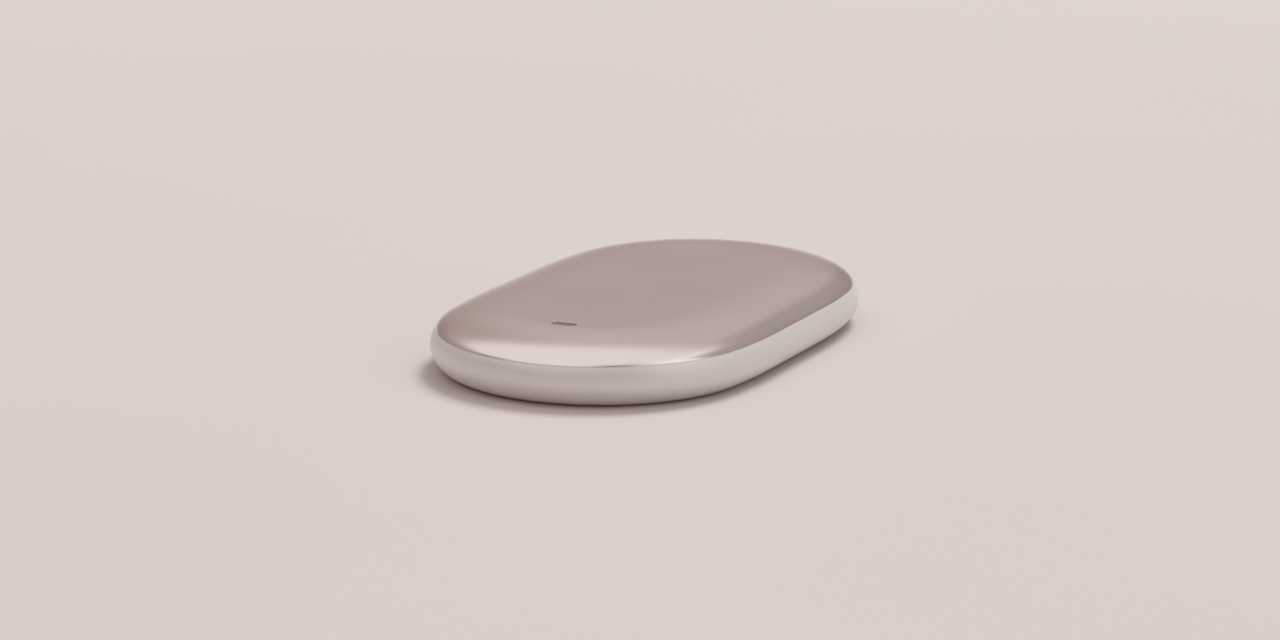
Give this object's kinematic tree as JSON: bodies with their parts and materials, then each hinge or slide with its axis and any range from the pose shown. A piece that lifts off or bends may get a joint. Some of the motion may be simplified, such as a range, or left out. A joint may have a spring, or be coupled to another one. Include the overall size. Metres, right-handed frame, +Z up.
{
  "type": "item tracker tag",
  "caption": "Pebble-shaped item tracker tag with a satin silver cover, indicator slot, screw-in battery hatch underneath and the electronics inside.",
  "frame": {"origin": "middle of the underside, on the surface that the tag lies on", "axes": "+X along the length, away from the indicator slot; +Y across; +Z up through the cover"},
  "size_m": [0.058, 0.035, 0.0064],
  "materials": {
    "cover_finish": "satin silver, metal-look coating",
    "shell_finish": "satin silver, metal-look coating",
    "seal_rubber": "matt black silicone",
    "foam": "matt black foam",
    "cell_steel": "bright nickel-plated steel",
    "cell_gasket": "translucent grey",
    "cell_mix": "matt black",
    "board_resin": "dark green solder mask",
    "screw_steel": "dark plated steel",
    "switch_plastic": "matt black",
    "contact_steel": "tinned sheet steel",
    "plunger_plastic": "matt ivory",
    "sounder_brass": "rolled brass",
    "sounder_ceramic": "silvered ceramic",
    "spring_bronze": "gold-plated phosphor bronze",
    "guide_plastic": "smoked clear plastic",
    "lamp_resin": "clear yellow resin",
    "chip_resin": "matt black moulding",
    "capacitor_resin": "ochre moulding",
    "passive_ceramic": "tan ceramic with tinned ends"
  },
  "bodies": {
    "housing": {"top_cover": "cover_finish", "lower_shell": "shell_finish", "perimeter_seal": "seal_rubber", "main_board": "board_resin", "board_screws": "screw_steel", "switch_base": "switch_plastic", "switch_frame": "contact_steel", "switch_dome": "contact_steel", "sounder_adhesive": "foam", "sounder_plate": "sounder_brass", "sounder_ceramic": "sounder_ceramic", "sounder_springs": "spring_bronze", "negative_contact": "spring_bronze", "positive_contacts": "spring_bronze", "antenna": "spring_bronze", "light_guide": "guide_plastic", "status_lamp": "lamp_resin", "light_shield": "foam", "shield_can": "contact_steel", "radio_chip": "chip_resin", "motion_sensor": "chip_resin", "crystals": "contact_steel", "reservoir_capacitor": "capacitor_resin", "board_passives": "passive_ceramic"},
    "coin_cell": {"coin_cell_can": "cell_steel", "coin_cell_gasket": "cell_gasket", "coin_cell_cap": "cell_steel", "coin_cell_pellet": "cell_mix"},
    "hatch": {"battery_hatch": "shell_finish", "hatch_seal": "seal_rubber", "hatch_pad": "foam"},
    "switch_plunger": {"switch_plunger": "plunger_plastic"}
  },
  "joints": [
    {"name": "hatch_lift", "type": "slide", "parent": "housing", "child": "coin_cell", "axis": [0, 0, -1], "range_m": [0, 0.0048]},
    {"name": "hatch_turn", "type": "hinge", "parent": "coin_cell", "child": "hatch", "pos_m": [0.008, 0, 0], "axis": [0, 0, -1], "range_deg": [0, 216]},
    {"name": "switch_press", "type": "slide", "parent": "housing", "child": "switch_plunger", "axis": [0, 0, -1], "range_m": [0, 0.00015], "stiffness_N_per_m": 2000, "deforming": ["switch_dome"]}
  ],
  "couplings": [
    {"joint": "hatch_lift", "follows": "hatch_turn", "m_per_rad": 0.0012732}
  ]
}
